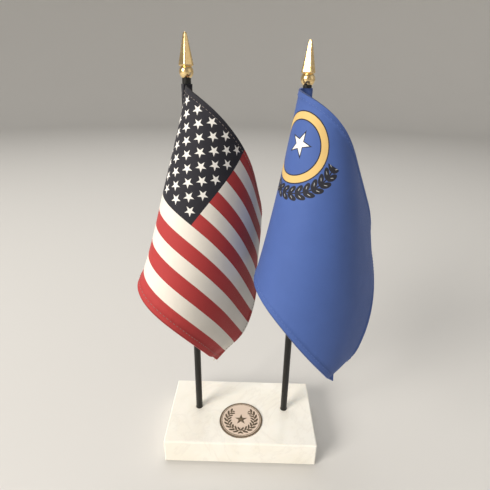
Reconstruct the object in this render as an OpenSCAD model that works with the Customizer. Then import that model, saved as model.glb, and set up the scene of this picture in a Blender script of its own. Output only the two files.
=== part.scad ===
// Desk flag stand: a marble block with a round medallion holds two upright staffs,
// each with a gilt spear finial and a draped flag.
// Millimetres, +Z up. The origin is the centre of the underside and -Y is the front.

/* [Base] */
// Width of the marble block, left to right
base_w = 108; // [96:1:160]
// Depth of the marble block, front to back
base_d = 61; // [52:1:100]
// Height of the marble block without its felt
base_h = 19; // [15:0.5:30]
// Width of the chamfer along every edge of the block
edge_chamfer = 0.8; // [0.3:0.1:2]
// Thickness of the felt under the block
felt_t = 1; // [0.5:0.1:2]
// Distance from the felt's edge to the block's sides
felt_inset = 2.5; // [1:0.5:6]

/* [Medallion] */
// Diameter of the medallion
medal_d = 31.8; // [22:0.2:40]
// Thickness of the medallion's plain disc
medal_t = 1.8; // [1.2:0.1:3]
// How far the disc stands out of the marble
medal_proud = 0.5; // [0.3:0.1:1]
// Distance of the medallion's centre in front of the block's middle
medal_forward = 9.7; // [6:0.1:12]
// Thickness of the adhesive disc under the medallion
adhesive_t = 0.2; // [0.1:0.1:0.5]
// Height of the rim, star and leaves above the disc
relief_h = 0.3; // [0.2:0.1:0.8]
// Width of the medallion's raised rim
rim_w = 1.1; // [0.6:0.1:2]
// Radius to the points of the medallion's star
medal_star_r = 5.2; // [3:0.1:6]

/* [Staffs] */
// Diameter of each staff
staff_d = 4.8; // [3.6:0.1:6]
// Distance between the two staff centres
staff_spacing = 65.5; // [52:0.5:80]
// Distance of the staff centres behind the block's middle
staff_back = 2.8; // [0:0.1:8]
// Height of the left staff's shoulder above the table
left_staff_h = 255; // [210:0.5:310]
// Height of the right staff's shoulder above the table
right_staff_h = 252.4; // [210:0.2:310]
// Depth of the hole that each staff stands in
hole_depth = 12.7; // [10:0.1:13]
// Radial clearance of a staff in its hole
hole_clearance = 0.06; // [0.02:0.01:0.1]
// Diameter of the spigot that carries the finial
spigot_d = 3.2; // [2.4:0.1:3.4]
// Length of that spigot
spigot_l = 4.2; // [3:0.1:5]

/* [Finials] */
// Diameter of the ball
ball_d = 7.7; // [6.8:0.1:9]
// Length of the spear above the neck
spear_l = 17.3; // [10:0.1:22]
// Width of the spear across its corners
spear_w = 8.8; // [6:0.1:10]
// Turn of the left spear's front edge from straight ahead
left_spear_turn = -2; // [-45:1:45]
// Turn of the right spear's front edge from straight ahead
right_spear_turn = 14; // [-45:1:45]
// Glue gap round the spigot
glue_gap = 0.05; // [0.02:0.01:0.1]

/* [Flags] */
// Length of the cloth from the staff's centre to its fly edge
flag_fly = 148; // [120:1:180]
// Length of the cloth along the staff
flag_hoist = 98.5; // [80:0.5:120]
// Thickness of the solid that stands for the draped cloth
cloth_t = 1; // [0.8:0.1:1.4]
// Distance of the left flag's top below its staff's shoulder
left_flag_drop = 3; // [1:0.2:12]
// Distance of the right flag's top below its staff's shoulder
right_flag_drop = 1.4; // [1:0.2:12]
// Thickness of the sleeve's cloth round the staff
sleeve_t = 0.6; // [0.4:0.1:1]
// Radial clearance of the staff in the sleeve
sleeve_clearance = 0.08; // [0.02:0.01:0.1]
// Distance of the sleeve's seam from the sleeve
seam_gap = 1; // [0.6:0.1:3]
// Length of one stitch in the seam
stitch_l = 1.8; // [1:0.1:3]
// Pitch of the stitches
stitch_pitch = 2.6; // [2:0.1:5]
// Diameter of the sewing thread
thread_d = 0.3; // [0.2:0.05:0.5]

/* [Hidden] */

$fn = 64;
left = -staff_spacing / 2;
right = staff_spacing / 2;
base_top = felt_t + base_h;
hole_floor = base_top - hole_depth;
hole_chamfer = 0.3;
staff_chamfer = 0.4;
recess_gap = 0.15;
recess_floor = base_top + medal_proud - medal_t - adhesive_t;
rim_r = medal_d / 2 - rim_w;

// Finial heights count from the staff's shoulder.
ball_z = sqrt(pow(ball_d / 2, 2) - pow(staff_d / 2, 2));
neck_share = 0.47;
spear_z = ball_z + neck_share * ball_d / 2;
neck_r = 0.3 * spear_w;
tip_r = 0.7;
corner_r = 0.6;
heel_h = 1.3;

sleeve_r = staff_d / 2 + sleeve_clearance + sleeve_t;
thread_facets = 13;

// How each edge of a flag hangs, from the staff to the fly: its first and last heading
// (0 is +X, 90 is +Y), the shares of the fly where it turns from one to the other,
// and the shares of the fly where it dips below the level.
FIRST = 0;
LAST = 1;
TURN_FROM = 2;
TURN_TO = 3;
DIP_FROM = 4;
DIP_TO = 5;
top_edge = 0;
bottom_edge = 1;
left_drape = [
    [-165, 60, -0.3, 0.5, -0.1, 0.4],
    [-150, 100, 0, 1.1, 0.2, 0.8],
];
right_drape = [
    [-135, 60, -0.1, 0.6, 0.1, 0.4],
    [-165, 30, -0.1, 0.9, 0.2, 0.6],
];
// Slope of the cloth's threads where they hang most steeply.
steepest = 50;
// Flags whose staffs stand close for their length hang in tighter folds.
roomy_spacing = 0.44;
spread = min(1, staff_spacing / (roomy_spacing * flag_fly));
cloth_steps = [26, 12];

function smooth(t) = let (c = min(max(t, 0), 1)) c * c * (3 - 2 * c);
function mix(a, b, t) = a + (b - a) * t;
function edge_at(drape, v) = mix(drape[top_edge], drape[bottom_edge], v);
function heading(e, u) =
    mix(e[FIRST], e[LAST], smooth((u - e[TURN_FROM]) / (e[TURN_TO] - e[TURN_FROM])));
function dip(e, u) = steepest * smooth((u - e[DIP_FROM]) / (e[DIP_TO] - e[DIP_FROM]));
function run(e, u) =
    let (h = heading(e, u), q = dip(e, u)) [spread * cos(q) * cos(h), cos(q) * sin(h), -sin(q)];

// Heading in which a thread leaves its sleeve.
function leave(e) = let (d = run(e, 0)) atan2(d.y, d.x);

// One thread of the cloth, at the share v of the hoist below the flag's top, as points
// from the sleeve to the fly. It starts at the height z on a staff that stands at x.
function thread_points(drape, x, z, v) =
    let (
        e = edge_at(drape, v),
        n = cloth_steps[0],
        r = sleeve_r - sleeve_t / 2,
        step = (flag_fly - r) / n,
        start = [x, staff_back, z] + r * [cos(leave(e)), sin(leave(e)), 0]
    )
    [for (i = 0, p = start; i <= n; p = p + step * run(e, (i + 0.5) / n), i = i + 1) p];

function unit(a) = a / norm(a);

// The middle surface's upright normal at thread j, point i.
function cloth_normal(rows, j, i) =
    let (
        last_j = len(rows) - 1,
        last_i = len(rows[0]) - 1,
        along = rows[j][min(i + 1, last_i)] - rows[j][max(i - 1, 0)],
        down = rows[min(j + 1, last_j)][i] - rows[max(j - 1, 0)][i]
    )
    unit(cross(down, along));

// Block with chamfered edges, its underside centred on the origin.
module eased_block(w, d, h, c) {
    intersection() {
        linear_extrude(h) chamfered_rect(w, d, c);
        translate([0, 0, h / 2])
            rotate([90, 0, 0]) linear_extrude(d, center = true) chamfered_rect(w, h, c);
        translate([0, 0, h / 2])
            rotate([90, 0, 90]) linear_extrude(w, center = true) chamfered_rect(d, h, c);
    }
}

module chamfered_rect(w, h, c) {
    x = w / 2;
    y = h / 2;
    polygon([
        [x, y - c], [x - c, y], [c - x, y], [-x, y - c],
        [-x, c - y], [c - x, -y], [x - c, -y], [x, c - y],
    ]);
}

module marble_base() {
    color("ivory")
    difference() {
        translate([0, 0, felt_t]) eased_block(base_w, base_d, base_h, edge_chamfer);
        for (x = [left, right]) translate([x, staff_back, 0]) staff_hole();
        translate([0, -medal_forward, recess_floor]) cylinder(d = medal_d + 2 * recess_gap, h = base_h);
    }
}

module staff_hole() {
    r = staff_d / 2 + hole_clearance;
    translate([0, 0, hole_floor]) cylinder(r = r, h = base_h);
    translate([0, 0, base_top - hole_chamfer])
        cylinder(r1 = r, r2 = r + 2 * hole_chamfer, h = 2 * hole_chamfer);
}

module felt_pad() {
    color("darkslategray")
    linear_extrude(felt_t) square([base_w - 2 * felt_inset, base_d - 2 * felt_inset], center = true);
}

// A generic struck design: a raised rim, a five-pointed star and a laurel wreath.
module medallion() {
    star_turn = 90;
    color("tan")
    translate([0, -medal_forward, base_top + medal_proud - medal_t]) {
        cylinder(d = medal_d, h = medal_t);
        rotate_extrude() translate([rim_r, 0]) square([rim_w, medal_t + relief_h]);
        linear_extrude(medal_t + relief_h) rotate(star_turn) star(medal_star_r);
        linear_extrude(medal_t + relief_h) wreath();
    }
}

module star(r) {
    inner = r * sin(18) / sin(54);
    polygon([for (i = [0:9]) (i % 2 == 0 ? r : inner) * [cos(36 * i), sin(36 * i)]]);
}

// Two rows of leaves that climb from the bottom and leave the top open.
module wreath() {
    leaves = 9;
    first_angle = -78;
    last_angle = 58;
    // The stem's place between the star and the rim, and the leaves' length, as shares of that gap.
    stem_share = 0.58;
    leaf_share = 0.42;
    // The leaves' distance from the stem and their width, as shares of their length.
    row_share = 0.45;
    slimness = 0.42;
    lean = 32;
    stem_r = mix(medal_star_r, rim_r, stem_share);
    leaf_l = leaf_share * (rim_r - medal_star_r);
    for (side = [0, 1], i = [0:leaves - 1], row = [-1, 1])
        mirror([side, 0])
            rotate(mix(first_angle, last_angle, i / (leaves - 1)))
                translate([stem_r + row * row_share * leaf_l, 0])
                    rotate(90 - row * lean)
                        leaf(leaf_l, slimness * leaf_l);
}

// A pointed leaf of length l and width w: the overlap of two discs.
module leaf(l, w) {
    r = (l * l / 4 + w * w / 4) / w;
    intersection() {
        translate([0, r - w / 2]) circle(r);
        translate([0, w / 2 - r]) circle(r);
    }
}

module medallion_adhesive() {
    color("gray")
    translate([0, -medal_forward, recess_floor]) cylinder(d = medal_d - 2, h = adhesive_t);
}

module staff(x, shoulder) {
    r = staff_d / 2;
    c = staff_chamfer;
    color([0.08, 0.08, 0.08])
    translate([x, staff_back, 0])
    rotate_extrude()
    polygon([
        [0, hole_floor], [r - c, hole_floor], [r, hole_floor + c], [r, shoulder],
        [spigot_d / 2, shoulder], [spigot_d / 2, shoulder + spigot_l], [0, shoulder + spigot_l],
    ]);
}

// Spear head on a ball, bored from below for the staff's spigot.
module finial(x, shoulder, turn) {
    color("goldenrod")
    translate([x, staff_back, shoulder]) {
        rotate_extrude() bored_ball_profile();
        rotate(turn - 90) spear();
    }
}

module bored_ball_profile() {
    difference() {
        intersection() {
            translate([0, ball_z]) circle(d = ball_d);
            square([ball_d, 2 * ball_d]);
        }
        translate([0, -1]) square([spigot_d / 2 + glue_gap, spigot_l + glue_gap + 1]);
    }
}

module spear() {
    facets = 16;
    hull() {
        translate([0, 0, spear_z + spear_l - tip_r]) sphere(r = tip_r, $fn = facets);
        for (a = [0:90:270])
            rotate(a)
                translate([spear_w / 2 - corner_r, 0, spear_z + heel_h])
                    sphere(r = corner_r, $fn = facets);
        translate([0, 0, spear_z]) cylinder(r = neck_r, h = heel_h, $fn = facets);
    }
}

// Closed solid of a hanging flag: its front, its back and the strip round its edge.
module draped_cloth(drape, x, top) {
    n = cloth_steps[0];
    m = cloth_steps[1];
    rows = [for (j = [0:m]) thread_points(drape, x, top - flag_hoist * j / m, j / m)];
    side = [for (j = [0:m], i = [0:n]) cloth_normal(rows, j, i) * cloth_t / 2];
    mid = [for (row = rows, p = row) p];
    count = len(mid);
    quads = [
        for (j = [0:m - 1], i = [0:n - 1])
            let (k = j * (n + 1) + i) [k, k + 1, k + n + 2, k + n + 1]
    ];
    border = concat(
        [for (i = [0:n - 1]) i],
        [for (j = [0:m - 1]) j * (n + 1) + n],
        [for (i = [n:-1:1]) m * (n + 1) + i],
        [for (j = [m:-1:1]) j * (n + 1)]
    );
    front = [for (q = quads, t = [[0, 1, 2], [0, 2, 3]]) [q[t[2]], q[t[1]], q[t[0]]]];
    back = [for (f = front) [f[2], f[1], f[0]] + count * [1, 1, 1]];
    rim = [
        for (b = [0:len(border) - 1])
            let (p = border[b], q = border[(b + 1) % len(border)])
                each [[p, q, q + count], [p, q + count, p + count]]
    ];
    polyhedron(concat(mid + side, mid - side), concat(front, back, rim));
}

module sleeve(x, top) {
    bore_r = staff_d / 2 + sleeve_clearance;
    translate([x, staff_back, top - flag_hoist])
    difference() {
        cylinder(r = sleeve_r, h = flag_hoist);
        translate([0, 0, -1]) cylinder(r = bore_r, h = flag_hoist + 2);
    }
}

// Upright stitches on both faces of the cloth, just outside the sleeve.
module seam(drape, x, top) {
    count = floor((flag_hoist - stitch_pitch) / stitch_pitch);
    color("white")
    for (i = [0:count - 1]) {
        drop = (i + 1) * stitch_pitch;
        translate([x, staff_back, top - drop - stitch_l / 2])
        rotate(leave(edge_at(drape, drop / flag_hoist)))
        for (face = [-1, 1])
            translate([sleeve_r + seam_gap, face * (cloth_t + thread_d) / 2, 0])
                cylinder(d = thread_d, h = stitch_l, $fn = thread_facets);
    }
}

left_flag_top = left_staff_h - left_flag_drop;
right_flag_top = right_staff_h - right_flag_drop;

module left_staff() { staff(left, left_staff_h); }
module right_staff() { staff(right, right_staff_h); }
module left_finial() { finial(left, left_staff_h, left_spear_turn); }
module right_finial() { finial(right, right_staff_h, right_spear_turn); }
module left_flag() { color("firebrick") draped_cloth(left_drape, left, left_flag_top); }
module right_flag() { color("royalblue") draped_cloth(right_drape, right, right_flag_top); }
module left_flag_sleeve() { color("midnightblue") sleeve(left, left_flag_top); }
module right_flag_sleeve() { color("royalblue") sleeve(right, right_flag_top); }
module left_sleeve_seam() { seam(left_drape, left, left_flag_top); }
module right_sleeve_seam() { seam(right_drape, right, right_flag_top); }

marble_base();
felt_pad();
medallion();
medallion_adhesive();
left_staff();
left_finial();
left_flag();
left_flag_sleeve();
left_sleeve_seam();
right_staff();
right_finial();
right_flag();
right_flag_sleeve();
right_sleeve_seam();
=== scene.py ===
"""Looks of the desk flag stand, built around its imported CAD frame. Metres, +Z up, -Y is the front."""

import math

import bpy
import numpy as np
from mathutils import Matrix, Vector


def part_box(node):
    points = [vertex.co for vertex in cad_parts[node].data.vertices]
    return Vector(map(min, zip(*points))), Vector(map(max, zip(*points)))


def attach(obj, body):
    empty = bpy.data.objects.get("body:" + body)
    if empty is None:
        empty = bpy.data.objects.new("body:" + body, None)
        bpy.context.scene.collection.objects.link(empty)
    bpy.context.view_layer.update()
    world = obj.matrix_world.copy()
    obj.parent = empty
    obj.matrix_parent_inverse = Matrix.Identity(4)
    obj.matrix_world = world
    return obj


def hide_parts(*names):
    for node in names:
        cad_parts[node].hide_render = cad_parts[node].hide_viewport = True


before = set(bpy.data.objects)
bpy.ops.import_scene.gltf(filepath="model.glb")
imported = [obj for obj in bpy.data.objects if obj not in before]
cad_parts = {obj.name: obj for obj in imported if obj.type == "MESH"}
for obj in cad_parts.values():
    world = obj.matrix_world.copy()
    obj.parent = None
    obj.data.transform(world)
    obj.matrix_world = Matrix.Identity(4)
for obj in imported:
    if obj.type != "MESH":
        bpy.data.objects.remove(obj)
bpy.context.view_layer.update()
MM = 0.001

# ---------------------------------------------------------------- camera, floor and light

# The camera stands above and in front of the set and looks down at it. Angles in degrees, lens in mm.
EYE = Vector((0.0033, -0.2231, 0.2542))
YAW, PITCH, ROLL = (math.radians(a) for a in (-0.71, 23.17, 1.03))
LENS, SENSOR = 28.23, 36.0


def add_camera():
    forward = Vector((
        math.sin(YAW) * math.cos(PITCH), math.cos(YAW) * math.cos(PITCH), -math.sin(PITCH)
    ))
    level = Vector((math.cos(YAW), -math.sin(YAW), 0))
    above = level.cross(forward)
    right = math.cos(ROLL) * level + math.sin(ROLL) * above
    up = -math.sin(ROLL) * level + math.cos(ROLL) * above
    data = bpy.data.cameras.new("camera")
    data.lens, data.sensor_width = LENS, SENSOR
    data.clip_start = 0.01
    camera = bpy.data.objects.new("camera", data)
    camera.matrix_world = Matrix.Translation(EYE) @ Matrix((right, up, -forward)).transposed().to_4x4()
    bpy.context.scene.collection.objects.link(camera)
    bpy.context.scene.camera = camera


def area_light(name, place, target, size, watts, colour):
    data = bpy.data.lights.new(name, "AREA")
    data.shape, data.size, data.energy, data.color = "SQUARE", size, watts, colour
    light = bpy.data.objects.new(name, data)
    light.location = place
    light.rotation_euler = (Vector(target) - Vector(place)).to_track_quat("-Z", "Y").to_euler()
    bpy.context.scene.collection.objects.link(light)


def add_light():
    middle = (0, 0, 0.12)
    area_light("key", (-1.35, -1.2, 1.05), middle, 0.85, 45, (1.0, 0.95, 0.88))
    area_light("fill", (1.6, -0.7, 0.9), middle, 1.5, 2.8, (1.0, 0.96, 0.92))
    area_light("top", (-0.2, 0.6, 1.9), middle, 1.5, 17, (1.0, 0.98, 0.95))
    bpy.context.scene.view_settings.view_transform = "Standard"
    world = bpy.data.worlds.new("studio")
    bpy.context.scene.world = world
    world.use_nodes = True
    background = world.node_tree.nodes["Background"]
    background.inputs["Color"].default_value = (0.93, 0.91, 0.88, 1)
    background.inputs["Strength"].default_value = 0.26


def add_floor():
    """Pale paper floor that curves up into a wall all round, far behind the lights."""
    flat_to, bend, high, segments = 2.2, 0.9, 2.6, 96
    turn = np.linspace(0, math.pi / 2, 24)
    profile = [(0.01, 0.0), (1.0, 0.0)]
    profile += [(flat_to + bend * math.sin(t), bend * (1 - math.cos(t))) for t in turn]
    profile += [(flat_to + bend, high)]
    around = np.linspace(0, 2 * math.pi, segments, endpoint=False)
    points = [(r * math.cos(a), r * math.sin(a), z) for r, z in profile for a in around]
    faces = grid_faces(len(profile), segments, closed=True) + [tuple(range(segments))]
    floor = mesh_object("floor", points, faces)
    material = bpy.data.materials.new("floor")
    material.use_nodes = True
    surface = material.node_tree.nodes["Principled BSDF"]
    surface.inputs["Base Color"].default_value = (0.66, 0.65, 0.63, 1)
    surface.inputs["Roughness"].default_value = 0.8
    floor.data.materials.append(material)


# ---------------------------------------------------------------- shader helpers

class Shader:
    """A material's node tree, with short calls for its sums."""

    def __init__(self, name, roughness=0.5, metallic=0.0):
        self.material = bpy.data.materials.new(name)
        self.material.use_nodes = True
        self.tree = self.material.node_tree
        self.surface = self.tree.nodes["Principled BSDF"]
        self.surface.inputs["Roughness"].default_value = roughness
        self.surface.inputs["Metallic"].default_value = metallic

    def node(self, kind, **settings):
        made = self.tree.nodes.new("ShaderNode" + kind)
        for key, value in settings.items():
            setattr(made, key, value)
        return made

    def plug(self, socket, value):
        if isinstance(value, bpy.types.NodeSocket):
            self.tree.links.new(value, socket)
        else:
            socket.default_value = value

    def sum(self, operation, a, b=0.0, c=0.0):
        made = self.node("Math", operation=operation)
        for socket, value in zip(made.inputs, (a, b, c)):
            self.plug(socket, value)
        return made.outputs[0]

    def both(self, a, b):
        return self.sum("MULTIPLY", a, b)

    def below(self, a, limit):
        return self.sum("LESS_THAN", a, limit)

    def mix(self, share, a, b):
        made = self.node("Mix", data_type="RGBA")
        self.plug(made.inputs["Factor"], share)
        for name, value in (("A", a), ("B", b)):
            socket = [s for s in made.inputs if s.name == name and s.type == "RGBA"][0]
            self.plug(socket, value)
        return [s for s in made.outputs if s.type == "RGBA"][0]

    def ramp(self, value, stops):
        made = self.node("ValToRGB")
        self.plug(made.inputs[0], value)
        elements = made.color_ramp.elements
        while len(elements) < len(stops):
            elements.new(0.5)
        for element, (place, colour) in zip(elements, stops):
            element.position, element.color = place, colour
        return made.outputs[0]

    def noise(self, scale, detail=3.0, roughness=0.5, vector=None, distortion=0.0):
        made = self.node("TexNoise")
        made.inputs["Scale"].default_value = scale
        made.inputs["Detail"].default_value = detail
        made.inputs["Roughness"].default_value = roughness
        made.inputs["Distortion"].default_value = distortion
        self.plug(made.inputs["Vector"], vector or self.place())
        return made.outputs[0]

    def place(self):
        return self.node("TexCoord").outputs["Object"]

    def bump(self, height, strength, distance, normal=None):
        made = self.node("Bump")
        made.inputs["Strength"].default_value = strength
        made.inputs["Distance"].default_value = distance
        self.plug(made.inputs["Height"], height)
        if normal:
            self.plug(made.inputs["Normal"], normal)
        return made.outputs[0]

    def finish(self, colour=None, roughness=None, normal=None):
        for name, value in (("Base Color", colour), ("Roughness", roughness), ("Normal", normal)):
            if value is not None:
                self.plug(self.surface.inputs[name], value)
        return self.material


def grey(value):
    return (value, value, value, 1)


def set_material(obj, material):
    obj.data.materials.clear()
    obj.data.materials.append(material)


# ---------------------------------------------------------------- mesh helpers

def mesh_object(name, points, faces, uvs=None, smooth=True):
    """Object from points in metres. uvs holds one pair for each point."""
    mesh = bpy.data.meshes.new(name)
    mesh.from_pydata([tuple(p) for p in points], [], [tuple(int(i) for i in f) for f in faces])
    if uvs is not None:
        layer = mesh.uv_layers.new(name="UVMap")
        corners = np.zeros(len(mesh.loops), np.int32)
        mesh.loops.foreach_get("vertex_index", corners)
        layer.data.foreach_set("uv", np.asarray(uvs, np.float32)[corners].ravel())
    mesh.polygons.foreach_set("use_smooth", [smooth] * len(mesh.polygons))
    mesh.update()
    made = bpy.data.objects.new(name, mesh)
    bpy.context.scene.collection.objects.link(made)
    return made


def grid_faces(rows, columns, closed=False):
    """Quads of a grid of points stored row by row; a closed grid joins its last column to its first."""
    last = columns if closed else columns - 1
    return [
        (j * columns + i, j * columns + (i + 1) % columns,
         (j + 1) * columns + (i + 1) % columns, (j + 1) * columns + i)
        for j in range(rows - 1) for i in range(last)
    ]


def unit(vectors):
    return vectors / np.maximum(np.linalg.norm(vectors, axis=-1, keepdims=True), 1e-12)


def lathe(name, profile, segments=64):
    """Closed turned solid about Z from (radius, height) points, which start and end on the axis."""
    turn = np.linspace(0, 2 * math.pi, segments, endpoint=False)
    inner = profile[1:-1]
    points = [(0, 0, profile[0][1])]
    points += [(r * math.cos(a), r * math.sin(a), z) for r, z in inner for a in turn]
    points += [(0, 0, profile[-1][1])]
    faces = [tuple(i + 1 for i in f) for f in grid_faces(len(inner), segments, closed=True)]
    top, start = len(points) - 1, 1 + (len(inner) - 1) * segments
    for i in range(segments):
        k = (i + 1) % segments
        faces += [(0, 1 + k, 1 + i), (start + i, start + k, top)]
    return mesh_object(name, points, faces)


# ---------------------------------------------------------------- how the flags hang

FLY, HOIST = 148 * MM, 98.5 * MM
STAFF_R = 2.4 * MM
# Cell of the grid on which the cloth is worked out.
CELL = 1.6 * MM
HEM = 3.2 * MM
CLOTH_T, HEM_T = 0.32 * MM, 0.8 * MM
# Distance from the staff's centre to the sleeve's seam.
SEAM_U = 5.4 * MM


class Thread:
    """How one thread of a hanging flag runs from the staff to the fly: its first and last heading, the
    shares of the fly where it turns, the shares where it dips, and how far its end curls on."""

    def __init__(self, first, last, turn_from, turn_to, dip_from, dip_to, curl):
        self.values = np.array([first, last, turn_from, turn_to, dip_from, dip_to, curl])


# Each flag is told by its top, middle and bottom threads. Angles in degrees.
LEFT_DRAPE = (
    Thread(-335, 75, -0.75, 0.60, -0.10, 0.35, 80),
    Thread(-180, 65, -0.25, 0.75, 0.05, 0.55, 10),
    Thread(-130, 70, 0.10, 0.90, 0.20, 0.70, 5),
)
RIGHT_DRAPE = (
    Thread(-180, 50, -0.20, 0.50, 0.00, 0.40, 30),
    Thread(-180, 45, -0.25, 0.80, 0.05, 0.65, 5),
    Thread(-180, 30, -0.25, 1.00, 0.25, 0.65, 50),
)
# The steepest dip of every thread, and the share of the fly past which its end curls.
STEEPEST = 51
CURL_FROM = 0.7
# The lower corner's curl: its reach, and how far it bends away and then back.
LEFT_CURL = (22 * MM, 0.45, 0.1)
RIGHT_CURL = (19 * MM, 0.75, 1.2)


def smooth_step(t):
    t = np.clip(t, 0, 1)
    return t * t * (3 - 2 * t)


def directions(drape, u, v):
    """Heading and unit direction of the cloth's fly-wise threads at the shares u and v."""
    top, middle, bottom = (thread.values for thread in drape)
    first, last, turn_from, turn_to, dip_from, dip_to, curl = (
        a * (1 - v) * (1 - 2 * v) + b * 4 * v * (1 - v) + c * v * (2 * v - 1)
        for a, b, c in zip(top, middle, bottom)
    )
    turned = first + (last - first) * smooth_step((u - turn_from) / (turn_to - turn_from))
    heading = np.radians(turned + curl * smooth_step((u - CURL_FROM) / (1 - CURL_FROM)))
    fall = np.radians(STEEPEST * smooth_step((u - dip_from) / (dip_to - dip_from)))
    along = np.stack([np.cos(fall) * np.cos(heading), np.cos(fall) * np.sin(heading), -np.sin(fall)], -1)
    return heading, along


def hung_surface(drape, axis, top):
    """The hanging cloth's middle surface as a grid of points [along the fly, down the hoist]."""
    nu, nv = round(FLY / CELL), round(HOIST / CELL)
    v = np.linspace(0, 1, nv + 1)
    start = np.stack([np.full(nv + 1, axis[0]), np.full(nv + 1, axis[1]), top - v * HOIST], -1)
    middle = (np.arange(nu) + 0.5) / nu
    _, along = directions(drape, middle[:, None], v[None, :])
    steps = np.cumsum(along * (FLY / nu), axis=0)
    return np.concatenate([start[None], start[None] + steps])


def evened(field, passes):
    """A field on the grid with its short waves averaged away."""
    for _ in range(passes):
        for axis in (0, 1):
            moved = np.moveaxis(field, axis, 0).copy()
            moved[1:-1] = (moved[:-2] + 2 * moved[1:-1] + moved[2:]) / 4
            field = np.moveaxis(moved, 0, axis)
    return field


def settle(grid, rounds=300, hold=0.004, sewn=5, passes=30):
    """Works the stretch out of the cloth: threads get their true lengths, and a weak pull keeps the
    fold where it hangs. The first sewn rows stay on the staff, and the passes leave no creases."""
    nu, nv = grid.shape[0] - 1, grid.shape[1] - 1
    du, dv = FLY / nu, HOIST / nv
    diagonal = math.hypot(du, dv)
    home = grid.copy()
    points = grid.copy()
    ties = [((1, 0), du, 0.5), ((0, 1), dv, 0.5), ((1, 1), diagonal, 0.35), ((1, -1), diagonal, 0.35),
            ((4, 0), 4 * du, 0.02), ((0, 4), 4 * dv, 0.04)]
    for _ in range(rounds):
        shift = np.zeros_like(points)
        share = np.zeros(points.shape[:2] + (1,))
        for (a, b), length, stiffness in ties:
            j0, j1 = (0, nv + 1 - b) if b >= 0 else (-b, nv + 1)
            near = (slice(0, nu + 1 - a), slice(j0, j1))
            far = (slice(a, nu + 1), slice(j0 + b, j1 + b))
            gap = points[far] - points[near]
            size = np.linalg.norm(gap, axis=-1, keepdims=True)
            pull = stiffness * 0.5 * (size - length) * gap / np.maximum(size, 1e-9)
            shift[near] += pull
            shift[far] -= pull
            share[near] += 0.25
            share[far] += 0.25
        points = points + shift / np.maximum(share, 0.5)
        points = points + hold * (home - points)
        points[:sewn] = home[:sewn]
    return home + evened(points - home, passes)


def spline_weights(shares, cells):
    """Rows of Catmull-Rom weights that read a grid of cells + 1 points at each share from 0 to 1."""
    place = np.clip(np.asarray(shares) * cells, 0, cells)
    first = np.minimum(place.astype(int), cells - 1)
    t = place - first
    parts = (
        (-t + 2 * t**2 - t**3) / 2, (2 - 5 * t**2 + 3 * t**3) / 2,
        (t + 4 * t**2 - 3 * t**3) / 2, (-t**2 + t**3) / 2,
    )
    weights = np.zeros((len(place), cells + 1))
    for offset, part in zip((-1, 0, 1, 2), parts):
        # Past an edge the grid goes on straight.
        index = first + offset
        for row, (i, w) in enumerate(zip(index, part)):
            if i < 0:
                weights[row, 0] += 2 * w
                weights[row, 1] -= w
            elif i > cells:
                weights[row, cells] += 2 * w
                weights[row, cells - 1] -= w
            else:
                weights[row, i] += w
    return weights


def curl_corner(grid, reach, away, back):
    """Bends the fly's lower corner: away from the viewer over the first part of the reach, then back.
    Both are angles in radians, and the fold lines cross the corner's diagonal."""
    nu, nv = grid.shape[0] - 1, grid.shape[1] - 1
    left_u = (FLY - np.linspace(0, FLY, nu + 1))[:, None]
    left_v = (HOIST - np.linspace(0, HOIST, nv + 1))[None, :]
    past = np.clip(reach - (left_u + left_v) / math.sqrt(2), 0, None)
    along_u, along_v = np.gradient(grid, FLY / nu, HOIST / nv, axis=(0, 1))
    outward = unit(along_u + along_v)
    behind = unit(np.cross(along_u, along_v))
    samples, away_to, back_from = 24, 0.55, 0.45
    forward, aside = np.zeros_like(past), np.zeros_like(past)
    for k in range(samples):
        share = past * (k + 0.5) / samples / reach
        turned_back = (away + back) * smooth_step((share - back_from) / (1 - back_from))
        angle = away * smooth_step(share / away_to) - turned_back
        forward += past / samples * (np.cos(angle) - 1)
        aside += past / samples * np.sin(angle)
    return grid + outward * forward[..., None] + behind * aside[..., None]


class Cloth:
    """A settled flag that can be read at any point: place and normal at lengths u along the fly and v
    down the hoist."""

    def __init__(self, grid):
        self.grid = grid
        self.cells = grid.shape[0] - 1, grid.shape[1] - 1

    def at(self, u, v):
        """Points and normals on the lattice of all u by all v."""
        step = 0.2 * MM
        u, v = np.asarray(u, float), np.asarray(v, float)

        def read(us, vs):
            wu = spline_weights(us / FLY, self.cells[0])
            wv = spline_weights(vs / HOIST, self.cells[1])
            return np.einsum("ai,ijk,bj->abk", wu, self.grid, wv, optimize=True)

        along = read(np.minimum(u + step, FLY), v) - read(np.maximum(u - step, 0), v)
        down = read(u, np.minimum(v + step, HOIST)) - read(u, np.maximum(v - step, 0))
        return read(u, v), unit(np.cross(down, along))


# ---------------------------------------------------------------- flag pieces

def lines_with_hems(length, start):
    """Lengths from start to length with close lines where the hem ends, for its step in thickness."""
    step = 0.25 * MM
    inside = length - HEM
    far = [inside - step, inside, inside + step, length - 2 * step, length]
    near = [start]
    if start == 0:
        near = [0, 2 * step, HEM - step, HEM, HEM + step]
    count = round((far[0] - near[-1]) / (1.3 * MM))
    return np.array(near[:-1] + list(np.linspace(near[-1], far[0], count)) + far[1:])


def thickness(u, v):
    """Thickness of the cloth on the lattice of u by v: folded hems on the top, fly and bottom edges."""
    edge = np.minimum(FLY - u[:, None], np.minimum(v, HOIST - v)[None, :])
    hem = smooth_step((HEM - edge) / (0.4 * MM) + 0.5)
    return CLOTH_T + (HEM_T - CLOTH_T) * hem


def pucker(u, v):
    """Height of the small waves that the sewing leaves along the hems."""
    edge = np.minimum(FLY - u[:, None], np.minimum(v, HOIST - v)[None, :])
    along = np.where(FLY - u[:, None] < np.minimum(v, HOIST - v)[None, :], v[None, :], u[:, None])
    near = np.exp(-((edge - HEM) / (2.4 * MM)) ** 2)
    waves = np.sin(along / MM * 1.25) + 0.7 * np.sin(along / MM * 0.71 + 1.0)
    return 0.07 * MM * near * waves


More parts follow.
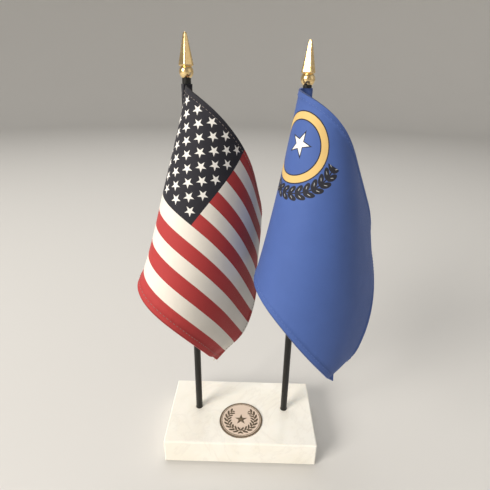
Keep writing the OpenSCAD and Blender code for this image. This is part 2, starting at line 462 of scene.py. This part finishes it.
def cloth_piece(name, cloth, shade):
    """Closed mesh of a flag: front, back and rounded edges, with its hems as real steps."""
    u, v = lines_with_hems(FLY, SEAM_U - 0.8 * MM), lines_with_hems(HOIST, 0)
    middle, normal = cloth.at(u, v)
    middle = middle + normal * pucker(u, v)[..., None]
    half = normal * thickness(u, v)[..., None] / 2
    columns, rows = len(u), len(v)
    front, back = middle + half, middle - half
    points = [front.reshape(-1, 3), back.reshape(-1, 3)]
    uv = np.stack(np.broadcast_arrays(u[:, None] / FLY, v[None, :] / HOIST), -1).reshape(-1, 2)
    faces = grid_faces(columns, rows)
    count = columns * rows
    faces = [f[::-1] for f in faces] + [tuple(i + count for i in f) for f in faces]
    # The edge: a ring of points that stands out from the middle rounds it off.
    bulge = 0.9
    ring = [(i, 0) for i in range(columns)] + [(columns - 1, j) for j in range(1, rows)]
    ring += [(i, rows - 1) for i in range(columns - 2, -1, -1)] + [(0, j) for j in range(rows - 2, 0, -1)]
    outward = []
    for i, j in ring:
        inner_i, inner_j = min(max(i, 1), columns - 2), min(max(j, 1), rows - 2)
        away = middle[i, j] - middle[inner_i, inner_j]
        outward.append(middle[i, j] + unit(away) * bulge * np.linalg.norm(half[i, j]))
    points.append(np.array(outward))
    uv = np.concatenate([uv, uv, [uv[i * rows + j] for i, j in ring]])
    for k, (i, j) in enumerate(ring):
        m = (k + 1) % len(ring)
        a, b = i * rows + j, ring[m][0] * rows + ring[m][1]
        faces += [(a, b, 2 * count + m, 2 * count + k), (2 * count + k, 2 * count + m, b + count, a + count)]
    piece = mesh_object(name, np.concatenate(points), faces, uv)
    piece.data.materials.append(shade)
    return piece


def stitch_piece(name, cloth, shade):
    """Rows of thread stitches on both faces: round the three hems and down the sleeve's seam."""
    pitch, length, radius = 2.2 * MM, 1.5 * MM, 0.13 * MM
    inset = HEM - 0.7 * MM
    ridge = 0.9 * radius
    routes = [
        ((SEAM_U, inset), (FLY - inset, inset)),
        ((FLY - inset, inset), (FLY - inset, HOIST - inset)),
        ((FLY - inset, HOIST - inset), (SEAM_U, HOIST - inset)),
        ((SEAM_U + 0.7 * MM, HOIST), (SEAM_U + 0.7 * MM, 0)),
    ]
    points, faces = [], []
    sides = 6
    turn = np.linspace(0, 2 * math.pi, sides, endpoint=False)
    for start, end in routes:
        start, end = np.array(start), np.array(end)
        count = int(np.linalg.norm(end - start) / pitch)
        way = unit(end - start)
        for k in range(count):
            mid = start + way * (k + 0.5) * pitch
            ends = [mid - way * length / 2, mid, mid + way * length / 2]
            read = [[part[0, 0] for part in cloth.at([p[0]], [p[1]])] for p in ends]
            height = thickness(np.array([mid[0]]), np.array([mid[1]]))[0, 0] / 2
            for face in (1, -1):
                lift = [0.0, ridge, 0.0]
                spine = [p + n * face * (height + up) for (p, n), up in zip(read, lift)]
                along = unit(spine[2] - spine[0])
                across = unit(np.cross(along, read[1][1]))
                first = len(points)
                points.append(spine[0])
                for share in (0.3, 0.7):
                    centre = spine[0] * (1 - share) + spine[2] * share + read[1][1] * face * ridge
                    points += [
                        centre + radius * (math.cos(a) * across + math.sin(a) * read[1][1]) for a in turn
                    ]
                points.append(spine[2])
                faces += [tuple(i + first + 1 for i in f) for f in grid_faces(2, sides, closed=True)]
                last = first + 1 + 2 * sides
                for i in range(sides):
                    m = (i + 1) % sides
                    faces += [(first, first + 1 + m, first + 1 + i),
                              (last, last - sides + i, last - sides + m)]
    piece = mesh_object(name, points, faces)
    piece.data.materials.append(shade)
    return piece


def frayed_ends(name, cloth, shade):
    """Loose thread ends at the fly's lower corner: thin bent fibres that taper off."""
    rng = np.random.default_rng(11)
    corner, normal = (part[0, 0] for part in cloth.at([FLY], [HOIST]))
    outward = unit(corner - cloth.at([FLY - 8 * MM], [HOIST - 8 * MM])[0][0, 0])
    fibres, sides, rings = 9, 5, 9
    turn = np.linspace(0, 2 * math.pi, sides, endpoint=False)
    points, faces = [], []
    for _ in range(fibres):
        root_u, root_v = FLY - rng.uniform(0, 3) * MM, HOIST - rng.uniform(0, 1.5) * MM
        root = cloth.at([root_u], [root_v])[0][0, 0]
        length, sway = rng.uniform(2.0, 4.6) * MM, rng.uniform(-1.2, 1.2, 2)
        side_way = unit(np.cross(outward, normal))
        first = len(points)
        for k in range(rings):
            t = k / (rings - 1)
            bend = t * t * length * 0.6
            centre = root + outward * length * (t - 0.25) + side_way * sway[0] * bend
            centre = centre + normal * sway[1] * bend
            radius = 0.09 * MM * (1 - 0.8 * t)
            points += [centre + radius * (math.cos(a) * side_way + math.sin(a) * normal) for a in turn]
        faces += [tuple(i + first for i in f) for f in grid_faces(rings, sides, closed=True)]
        last = first + (rings - 1) * sides
        faces += [tuple(first + i for i in range(sides))[::-1], tuple(last + i for i in range(sides))]
    piece = mesh_object(name, points, faces)
    piece.data.materials.append(shade)
    return piece


def sleeve_piece(name, drape, axis, top, shade):
    """The folded tube round the staff: round behind, drawn to a lip where it is sewn to the flag."""
    inner, wall, lip = STAFF_R + 0.15 * MM, 0.45 * MM, SEAM_U
    rows, sides = 60, 48
    v = np.linspace(0, 1, rows)
    heading, _ = directions(drape, np.zeros(rows), v)
    turn = np.linspace(-math.pi, math.pi, sides, endpoint=False)
    meet = math.acos(inner / lip)
    shape = np.where(np.abs(turn) < meet, inner / np.cos(meet - np.abs(turn)), inner)
    rng = np.random.default_rng(5)
    ripple = sum(
        0.05 * MM * np.sin(v[:, None] * k + turn[None, :] * m + p)
        for k, m, p in zip((60, 95, 140), (1, -2, 3), rng.uniform(0, 6, 3))
    )
    points, uvs = [], []
    for radius, wave in ((shape + wall, ripple), (shape, 0.0)):
        r = radius[None, :] + np.maximum(wave, 0)
        a = turn[None, :] + heading[:, None]
        z = np.broadcast_to((top - v * HOIST)[:, None], a.shape)
        points.append(np.stack([axis[0] + r * np.cos(a), axis[1] + r * np.sin(a), z], -1).reshape(-1, 3))
        wrap = np.broadcast_to(np.abs(turn)[None, :] * inner / FLY, a.shape)
        uvs.append(np.stack([wrap, np.broadcast_to(v[:, None], a.shape)], -1).reshape(-1, 2))
    count = rows * sides
    faces = grid_faces(rows, sides, closed=True)
    faces = [f[::-1] for f in faces] + [tuple(i + count for i in f) for f in faces]
    for start in (0, (rows - 1) * sides):
        for i in range(sides):
            k = (i + 1) % sides
            ring = (start + i, start + k, start + k + count, start + i + count)
            faces.append(ring if start else ring[::-1])
    piece = mesh_object(name, np.concatenate(points), faces, np.concatenate(uvs))
    piece.data.materials.append(shade)
    return piece


# ---------------------------------------------------------------- cloth materials

def flag_place(shader):
    """Millimetres along the fly and down the hoist, as two sockets."""
    split = shader.node("SeparateXYZ")
    uv = shader.node("UVMap", uv_map="UVMap")
    shader.plug(split.inputs[0], uv.outputs[0])
    return (
        shader.both(split.outputs[0], FLY / MM),
        shader.both(split.outputs[1], HOIST / MM),
    )


def star_outline():
    """Half the angle between a star's points, and the side of a point as across * cos + rise * sin of
    the angle from its tip, where the tip lies at a radius of 1."""
    point = math.radians(36)
    notch = math.sin(point / 2) / math.sin(3 * point / 2)
    return point, notch * math.sin(point), 1 - notch * math.cos(point)


def star_mask(shader, x, y, radius):
    """1 inside a five-pointed star round the origin of x, y with a point towards -y."""
    point, across, rise = star_outline()
    angle = shader.sum("ARCTAN2", x, shader.both(y, -1))
    turned = shader.sum("FLOORED_MODULO", shader.sum("ADD", angle, point), 2 * point)
    folded = shader.sum("ABSOLUTE", shader.sum("SUBTRACT", turned, point))
    reach = shader.sum("SQRT", shader.sum("ADD", shader.both(x, x), shader.both(y, y)))
    side = shader.sum(
        "ADD",
        shader.both(shader.sum("COSINE", folded), across),
        shader.both(shader.sum("SINE", folded), rise),
    )
    return shader.below(shader.both(reach, side), radius * across)


def weave(shader, x, y, pitch=0.42):
    """Height of a plain weave: two sets of crossed threads."""
    warp = shader.sum("SINE", shader.both(x, 2 * math.pi / pitch))
    weft = shader.sum("SINE", shader.both(y, 2 * math.pi / pitch))
    return shader.both(warp, weft)


def cloth_finish(shader, colour, x, y):
    """Gives a printed colour the cloth's uneven dye, weave and sheen, with a faint painted highlight on the
    weave's crests.
    """
    cloudy = shader.noise(90.0, 3.0, 0.55)
    shaded = shader.mix(shader.both(cloudy, 0.14), colour, grey(0.02))
    threads = weave(shader, x, y)
    coarse = shader.noise(520.0, 2.0, 0.6)
    # Painted highlight: where the weave stands highest, its colour is mixed a little towards pale grey.
    dye_and_crest_highlight = shader.mix(shader.both(shader.sum("ADD", threads, 1.0), 0.012), shaded, grey(0.9))
    fine = shader.bump(threads, 0.3, 0.00006)
    normal = shader.bump(coarse, 0.22, 0.00025, fine)
    rough = shader.sum("ADD", shader.both(cloudy, 0.14), 0.62)
    shader.surface.inputs["Sheen Weight"].default_value = 0.08
    shader.surface.inputs["Sheen Roughness"].default_value = 0.4
    shader.surface.inputs["Specular IOR Level"].default_value = 0.2
    return shader.finish(dye_and_crest_highlight, rough, normal)


def striped_cloth():
    """Thirteen stripes and a dark star field in the upper corner by the staff."""
    stripes, star_columns, star_rows = 13, 12, 10
    hoist = HOIST / MM
    stripe = hoist / stripes
    union_w, union_h = 0.595 * hoist, 7 * stripe
    cell_w, cell_h = union_w / star_columns, union_h / star_rows
    star_r = 0.0308 * hoist * 0.97
    shader = Shader("striped_cloth")
    x, y = flag_place(shader)
    odd = shader.sum("FLOORED_MODULO", shader.sum("FLOOR", shader.both(y, 1 / stripe)), 2.0)
    red, white = (0.45, 0.038, 0.038, 1), (0.84, 0.79, 0.71, 1)
    field = shader.mix(odd, red, white)
    inside = shader.both(shader.below(x, union_w), shader.below(y, union_h))
    stars = 0.0
    # The star rows of five and of six are two lattices, each with cells of two steps.
    for offset in (0, 1):
        local = []
        for place, cell in ((x, cell_w), (y, cell_h)):
            moved = shader.sum("ADD", place, cell * offset)
            local.append(shader.sum("SUBTRACT", shader.sum("FLOORED_MODULO", moved, 2 * cell), cell))
        mask = star_mask(shader, local[0], local[1], star_r)
        if offset:
            for place, cell, last in ((x, cell_w, star_columns - 1), (y, cell_h, star_rows - 1)):
                mask = shader.both(mask, shader.sum("GREATER_THAN", place, cell))
                mask = shader.both(mask, shader.below(place, cell * last))
        stars = shader.sum("MAXIMUM", mask, stars)
    union = shader.mix(stars, (0.012, 0.0115, 0.019, 1), (0.86, 0.84, 0.80, 1))
    return cloth_finish(shader, shader.mix(inside, field, union), x, y)


def emblem(shader, x, y, ground):
    """A generic badge printed on the ground: a gold ring round a white star over a dark wreath."""
    centre = (33.4, 23.4)
    ring_in, ring_out, line = 13.4, 18.0, 0.55
    star_r, star_border, star_out, star_up = 5.8, 1.6, 1.0, 2.4
    dark, gold, white = (0.013, 0.014, 0.024, 1), (0.74, 0.51, 0.19, 1), (0.9, 0.9, 0.88, 1)
    dx, dy = shader.sum("SUBTRACT", x, centre[0]), shader.sum("SUBTRACT", y, centre[1])
    reach = shader.sum("SQRT", shader.sum("ADD", shader.both(dx, dx), shader.both(dy, dy)))

    def band(low, high):
        return shader.both(shader.sum("GREATER_THAN", reach, low), shader.below(reach, high))

    colour = ground
    # The wreath: two rows of leaves along an arc that opens towards the flag's top edge.
    angle = shader.sum("ARCTAN2", dx, dy)
    stem, stem_half, leaf_pitch, leaf_w, leaf_slant, leaf_fill = 22.6, 0.35, 4.6, 1.9, 0.8, 2.1
    berry_narrow, berry_size, berry_tone = 16, 0.14, 0.55
    on_arc = shader.below(shader.sum("ABSOLUTE", angle), math.radians(100))
    run = shader.both(shader.sum("ABSOLUTE", angle), stem)
    for side in (-1, 1):
        out = shader.sum("SUBTRACT", reach, stem + side * leaf_w * 0.95)
        sheared = shader.sum("SUBTRACT", run, shader.both(out, side * leaf_slant))
        place = shader.sum("FLOORED_MODULO", sheared, leaf_pitch)
        along = shader.both(shader.sum("SUBTRACT", place, leaf_pitch / 2), leaf_fill / leaf_pitch)
        across = shader.both(out, 1 / leaf_w)
        oval = shader.sum("ADD", shader.both(along, along), shader.both(across, across))
        colour = shader.mix(shader.both(shader.below(oval, 1.0), on_arc), colour, dark)
        narrow = shader.both(shader.both(along, along), berry_narrow)
        berry = shader.sum("ADD", narrow, shader.both(across, across))
        spot = shader.both(shader.both(shader.below(berry, berry_size), on_arc), berry_tone)
        colour = shader.mix(spot, colour, white)
    colour = shader.mix(shader.both(band(stem - stem_half, stem + stem_half), on_arc), colour, dark)
    colour = shader.mix(band(ring_in, ring_out), colour, dark)
    colour = shader.mix(band(ring_in + line, ring_out - line), colour, gold)
    star_x, star_y = shader.sum("SUBTRACT", dx, star_out), shader.sum("ADD", dy, star_up)
    colour = shader.mix(star_mask(shader, star_x, star_y, star_r + star_border), colour, dark)
    return shader.mix(star_mask(shader, star_x, star_y, star_r), colour, white)


def blue_cloth():
    shader = Shader("blue_cloth")
    x, y = flag_place(shader)
    colour = emblem(shader, x, y, (0.060, 0.120, 0.37, 1))
    return cloth_finish(shader, colour, x, y)


def thread(name, colour):
    shader = Shader(name, roughness=0.7)
    twist = shader.noise(2600.0, 2.0, 0.5)
    tone = shader.mix(twist, tuple(0.7 * c for c in colour[:3]) + (1,), colour)
    return shader.finish(tone, normal=shader.bump(twist, 0.4, 0.0001))


# ---------------------------------------------------------------- hard materials

def marble():
    """Warm white marble: faint clouds, fine grey veins and a polish that is never quite even."""
    shader = Shader("marble", roughness=0.2)
    clouds = shader.noise(28.0, 5.0, 0.6, distortion=0.6)
    ground = shader.ramp(clouds, [(0.3, (0.88, 0.84, 0.74, 1)), (0.7, (0.95, 0.93, 0.86, 1))])
    bent = shader.noise(17.0, 6.0, 0.62, distortion=1.6)
    vein = shader.sum("ABSOLUTE", shader.sum("SUBTRACT", bent, 0.5))
    vein = shader.ramp(vein, [(0.0, grey(1)), (0.022, grey(0.25)), (0.05, grey(0))])
    crystals = shader.noise(900.0, 2.0, 0.5)
    colour = shader.mix(shader.both(vein, 0.16), ground, (0.60, 0.56, 0.50, 1))
    colour = shader.mix(shader.both(crystals, 0.06), colour, grey(1))
    rough = shader.sum("ADD", shader.both(clouds, 0.12), 0.14)
    shader.surface.inputs["Subsurface Weight"].default_value = 0.15
    shader.surface.inputs["Subsurface Radius"].default_value = (0.006, 0.005, 0.004)
    return shader.finish(colour, rough, shader.bump(crystals, 0.05, 0.0001))


def gilt():
    """Bright gold plating with a slight orange-peel and duller patches."""
    shader = Shader("gilt", roughness=0.3, metallic=1.0)
    patches = shader.noise(420.0, 4.0, 0.55)
    tone = shader.ramp(patches, [(0.3, (0.86, 0.60, 0.27, 1)), (0.65, (0.97, 0.75, 0.40, 1))])
    rough = shader.sum("ADD", shader.both(patches, 0.2), 0.16)
    return shader.finish(tone, rough, shader.bump(shader.noise(1100.0, 2.0), 0.05, 0.00005))


def black_staff():
    """Black moulded staff with fine draw lines along it."""
    shader = Shader("black_staff", roughness=0.3)
    spread = shader.node("Mapping")
    spread.inputs["Scale"].default_value = (1.0, 1.0, 0.03)
    shader.plug(spread.inputs["Vector"], shader.place())
    lines = shader.noise(2400.0, 3.0, 0.6, vector=spread.outputs[0])
    dust = shader.noise(300.0, 4.0, 0.6)
    tone = shader.mix(shader.both(dust, 0.5), (0.007, 0.007, 0.006, 1), (0.018, 0.017, 0.014, 1))
    rough = shader.sum("ADD", shader.both(lines, 0.2), 0.26)
    shader.surface.inputs["Specular IOR Level"].default_value = 0.35
    return shader.finish(tone, rough, shader.bump(lines, 0.15, 0.0001))


def felt():
    shader = Shader("felt", roughness=0.95)
    fuzz = shader.noise(1400.0, 4.0, 0.7)
    tone = shader.mix(fuzz, (0.008, 0.02, 0.015, 1), (0.03, 0.055, 0.04, 1))
    return shader.finish(tone, normal=shader.bump(fuzz, 0.7, 0.0005))


def foam_tape():
    shader = Shader("adhesive", roughness=0.7)
    cells = shader.noise(1200.0, 3.0)
    return shader.finish(shader.mix(cells, grey(0.45), grey(0.65)), normal=shader.bump(cells, 0.3, 0.0002))


def struck_metal(floor_z, top_z):
    """Antiqued medal metal: pale on the field, brown on the relief and in its rim."""
    shader = Shader("medallion_metal", roughness=0.4, metallic=0.35)
    split = shader.node("SeparateXYZ")
    shader.plug(split.inputs[0], shader.place())
    height = shader.sum("DIVIDE", shader.sum("SUBTRACT", split.outputs[2], floor_z), top_z - floor_z)
    patina = shader.noise(700.0, 4.0, 0.6)
    level = shader.sum("ADD", height, shader.both(shader.sum("SUBTRACT", patina, 0.5), 0.25))
    pale, brown, deep = (0.70, 0.56, 0.45, 1), (0.16, 0.115, 0.065, 1), (0.09, 0.065, 0.04, 1)
    colour = shader.ramp(level, [(0.06, pale), (0.22, brown), (0.75, deep), (0.98, brown)])
    rough = shader.sum("ADD", shader.both(patina, 0.25), 0.25)
    return shader.finish(colour, rough, shader.bump(patina, 0.15, 0.0001))


# ---------------------------------------------------------------- hard pieces

MEDAL_RELIEF = 0.3 * MM
BALL_R = 3.85 * MM
# Half the spear's width across its corners, and how far its foot lies above the ball's centre.
SPEAR_HALF = 4.4 * MM
NECK_SHARE = 0.47


def medallion_piece(shade):
    """Struck disc as one height field over polar cells: beaded rim, laurel wreath and faceted star."""
    low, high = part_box("medallion")
    centre = (low + high) / 2
    radius = (high.x - low.x) / 2
    face = high.z - MEDAL_RELIEF
    rings, spokes = 96, 288
    r = np.linspace(0, 1, rings + 1)[1:, None] * radius
    a = np.linspace(0, 2 * math.pi, spokes, endpoint=False)[None, :]
    height = medallion_height(r / MM, a, radius / MM) * MEDAL_RELIEF
    x, y = centre.x + r * np.cos(a), centre.y + r * np.sin(a)
    top = np.stack([x, y, face + height], -1).reshape(-1, 3)
    points = [np.array([[centre.x, centre.y, high.z]]), top]
    rim_x, rim_y = x[-1], y[-1]
    edge = 0.12 * MM
    skirt = [(radius, high.z - 2 * edge), (radius, low.z + edge), (radius - edge, low.z)]
    for rr, z in skirt:
        share = rr / radius
        points.append(np.stack([
            centre.x + (rim_x - centre.x) * share, centre.y + (rim_y - centre.y) * share,
            np.full(spokes, z)
        ], -1))
    faces = [tuple(i + 1 for i in f) for f in grid_faces(rings + len(skirt), spokes, closed=True)]
    faces += [(0, 1 + i, 1 + (i + 1) % spokes) for i in range(spokes)]
    last = 1 + (rings + len(skirt) - 1) * spokes
    faces.append(tuple(last + i for i in range(spokes))[::-1])
    faces = [f if len(f) != 4 else f[::-1] for f in faces]
    piece = mesh_object("medallion_relief", np.concatenate(points), faces)
    piece.data.materials.append(shade)
    return piece


def medallion_height(r, a, radius):
    """Relief as a share of its full height at r millimetres and angle a."""
    rim_w, bead_in, bead_r, bead_pairs = 1.15, 1.75, 0.34, 42
    rim = smooth_step((r - (radius - rim_w)) / 0.25) * smooth_step((radius + 0.02 - r) / 0.3)
    beads = 0.55 * np.maximum(
        1 - ((r - (radius - bead_in)) / bead_r) ** 2 - np.sin(a * bead_pairs) ** 2, 0
    ) ** 0.5
    # Wreath: pointed leaves in two rows on an arc that is open at the top.
    up = np.abs(np.angle(np.exp(1j * (a + math.pi / 2))))
    stem_r, pitch, leaf = 9.9, 3.0, 1.45
    on_arc = smooth_step((math.radians(146) - up) / 0.05)
    wreath = np.zeros(np.broadcast(r, a).shape)
    for side in (-1, 1):
        out = r - (stem_r + side * leaf)
        lag = 0.5 * pitch if side > 0 else 0
        run = np.mod(up * stem_r - side * out * 0.9 + lag, pitch) - pitch / 2
        bulge = 1 - (np.abs(run) / (0.36 * pitch)) ** 1.5 - (out / leaf) ** 2
        rib = 0.25 * np.exp(-((run / 0.14) ** 2))
        wreath = np.maximum(wreath, np.sqrt(np.maximum(bulge, 0)) * (0.95 - rib))
    stem = 0.6 * np.exp(-(((r - stem_r) / 0.2) ** 2))
    wreath = np.maximum(wreath, stem) * on_arc
    # Star: five points, each with a ridge that falls away to its sides.
    point, across, rise = star_outline()
    folded = np.abs(np.mod(a - math.pi / 2 + point, 2 * point) - point)
    star_r = 5.2
    inside = 1 - r * (np.cos(folded) * across + np.sin(folded) * rise) / (star_r * across)
    star = np.clip(inside * 1.5, 0, 1) ** 0.8
    return np.clip(np.maximum(np.maximum(rim, beads), np.maximum(wreath, star)), 0, 1)


def finial_piece(name, node, turn, shade):
    """Gilt spear on a ball: four hollowed faces with soft edges, a thin neck and a turned ball."""
    low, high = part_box(node)
    axis_x, axis_y = (low.x + high.x) / 2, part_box("left_staff")[0].y + STAFF_R
    ball_z = low.z + math.sqrt(BALL_R**2 - STAFF_R**2)
    base_z, tip_z = ball_z + NECK_SHARE * BALL_R, high.z
    # The spear's section at each level: its corner radius and how square it is.
    levels, sides = 40, 48
    heel_to, nose_from, tip_r = 0.085, 0.955, 0.95 * MM
    angle = np.linspace(0, 2 * math.pi, sides, endpoint=False)
    points, squareness = [], 0.93
    for k in range(levels + 1):
        share = k / levels
        z = base_z + (tip_z - base_z) * share
        heel = smooth_step(share / heel_to)
        taper = 1 - max(share - heel_to, 0) / (1 - heel_to)
        nose = math.sqrt(max(1 - max((share - nose_from) / (1 - nose_from), 0) ** 2, 0))
        corner = (tip_r + (SPEAR_HALF - tip_r) * taper) * (0.34 + 0.66 * heel) * nose
        folded = np.abs(np.mod(angle + math.pi / 4, math.pi / 2) - math.pi / 4)
        flat = math.cos(math.pi / 4) / np.cos(math.pi / 4 - folded)
        section = corner * (1 - squareness + squareness * flat)
        round_off = 0.07 * corner * np.exp(-((folded / 0.13) ** 2))
        section = section - round_off
        points.append(np.stack([section * np.cos(angle), section * np.sin(angle), np.full(sides, z)], -1))
    spear = np.concatenate(points)
    c, s = math.cos(turn), math.sin(turn)
    spear = spear @ np.array([[c, s, 0], [-s, c, 0], [0, 0, 1]])
    spear = np.concatenate([[[0, 0, base_z]], spear])
    faces = [tuple(i + 1 for i in f) for f in grid_faces(levels + 1, sides, closed=True)]
    faces += [(0, 1 + (i + 1) % sides, 1 + i) for i in range(sides)]
    body = mesh_object(name, spear, faces)
    arc = [
        (BALL_R * math.cos(t), ball_z + BALL_R * math.sin(t))
        for t in np.linspace(-math.acos(STAFF_R / BALL_R), math.radians(78), 40)
    ]
    collar_r, collar_z = 1.2 * MM, base_z + 0.3 * MM
    ball = lathe(name + "_ball", [
        (0, low.z), (STAFF_R - 0.1 * MM, low.z), *arc, (collar_r, collar_z), (0, collar_z)
    ])
    for part in (body, ball):
        part.data.materials.append(shade)
    context = bpy.context
    for other in context.selected_objects:
        other.select_set(False)
    ball.select_set(True)
    body.select_set(True)
    context.view_layer.objects.active = body
    bpy.ops.object.join()
    body.data.transform(Matrix.Translation((axis_x, axis_y, 0)))
    return body


# ---------------------------------------------------------------- the set

def dress(node, shade):
    set_material(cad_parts[node], shade)


def dress_base():
    medal_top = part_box("medallion")[1].z
    dress("marble_base", marble())
    dress("felt_pad", felt())
    dress("medallion_adhesive", foam_tape())
    medal = medallion_piece(struck_metal(medal_top - MEDAL_RELIEF, medal_top))
    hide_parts("medallion")
    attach(medal, "base")


def dress_staffs():
    black, gold = black_staff(), gilt()
    for side, turn in (("left", -92), ("right", -76)):
        dress(side + "_staff", black)
        spear = finial_piece(side + "_spear", side + "_finial", math.radians(turn), gold)
        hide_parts(side + "_finial")
        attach(spear, side + "_staff")


def dress_flags():
    for side, drape, curl, shade, slot, thread_tone in (
        ("left", LEFT_DRAPE, LEFT_CURL, striped_cloth(), "striped_cloth", (0.30, 0.25, 0.23, 1)),
        ("right", RIGHT_DRAPE, RIGHT_CURL, blue_cloth(), "blue_cloth", (0.12, 0.2, 0.5, 1)),
    ):
        low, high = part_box(side + "_flag_sleeve")
        axis, top = ((low.x + high.x) / 2, (low.y + high.y) / 2), high.z
        cloth = Cloth(curl_corner(settle(hung_surface(drape, axis, top)), *curl))
        sewing = thread(side + "_thread", thread_tone)
        flag = cloth_piece(side + "_hung_flag", cloth, shade)
        sleeve = sleeve_piece(side + "_sleeve", drape, axis, top, shade)
        stitches = stitch_piece(side + "_stitches", cloth, sewing)
        for piece, node, finish in (
            (flag, side + "_flag", slot), (sleeve, side + "_flag_sleeve", slot),
            (stitches, side + "_sleeve_seam", "thread"),
        ):
            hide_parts(node)
            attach(piece, side + "_flag")
        if side == "left":
            fray = frayed_ends("left_frayed_ends", cloth, thread("frayed_thread", (0.55, 0.43, 0.25, 1)))
            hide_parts("left_sleeve_seam")
            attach(fray, "left_flag")


add_camera()
add_light()
add_floor()
dress_base()
dress_staffs()
dress_flags()
